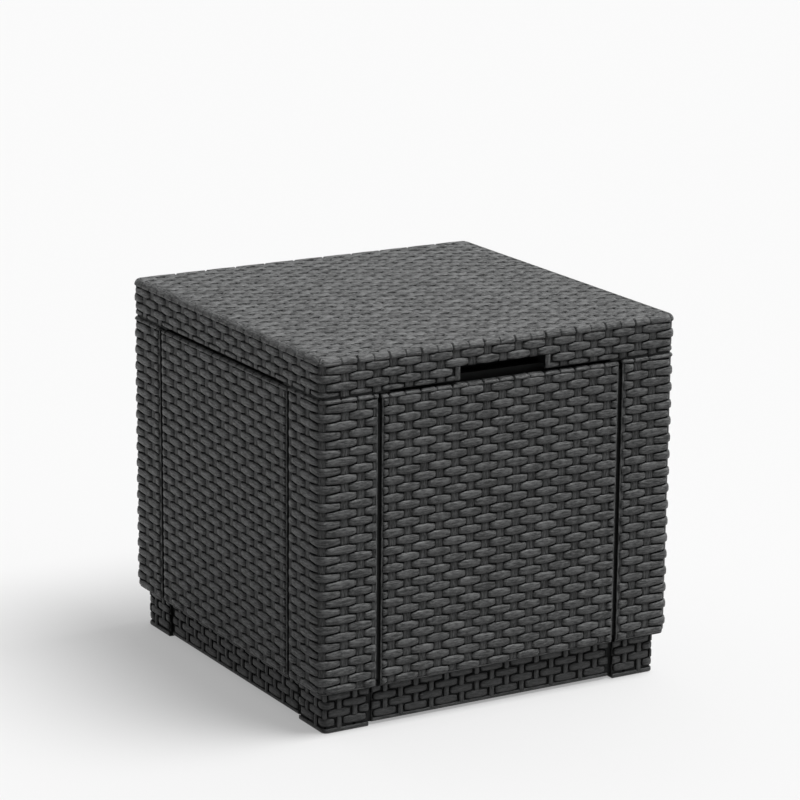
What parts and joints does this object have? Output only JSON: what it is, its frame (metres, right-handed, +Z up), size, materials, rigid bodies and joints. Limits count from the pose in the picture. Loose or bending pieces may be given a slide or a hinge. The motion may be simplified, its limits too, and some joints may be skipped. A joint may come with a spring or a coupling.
{
  "type": "storage table",
  "caption": "Square outdoor storage table with a lift-off lid, moulded rattan-look walls between corner posts, finger-grip slot and plinth on corner feet.",
  "frame": {"origin": "on the floor under the middle of the table", "axes": "+Z up, the front with the finger grip faces -Y, +X to the right seen from the front"},
  "size_m": [0.42, 0.42, 0.39],
  "materials": {
    "woven_resin": "moulded rattan weave, graphite, satin",
    "plinth_resin": "moulded rattan weave in low relief, graphite",
    "plain_resin": "plain moulded, graphite, fine texture",
    "zinc_steel": "zinc plated"
  },
  "bodies": {
    "carcass": {"front_left_post": "woven_resin", "front_right_post": "woven_resin", "back_right_post": "woven_resin", "back_left_post": "woven_resin", "front_panel": "woven_resin", "right_panel": "woven_resin", "back_panel": "woven_resin", "left_panel": "woven_resin", "front_left_foot": "plinth_resin", "front_right_foot": "plinth_resin", "back_right_foot": "plinth_resin", "back_left_foot": "plinth_resin", "front_rail": "plinth_resin", "right_rail": "plinth_resin", "back_rail": "plinth_resin", "left_rail": "plinth_resin", "floor_tray": "plain_resin", "corner_screws": "zinc_steel"},
    "lid": {"lid_shell": "woven_resin", "lid_liner": "plain_resin", "lid_screws": "zinc_steel"}
  },
  "joints": [
    {"name": "lid_lift", "type": "slide", "parent": "carcass", "child": "lid", "axis": [0, 0, 1], "range_m": [0, 0.15]}
  ]
}
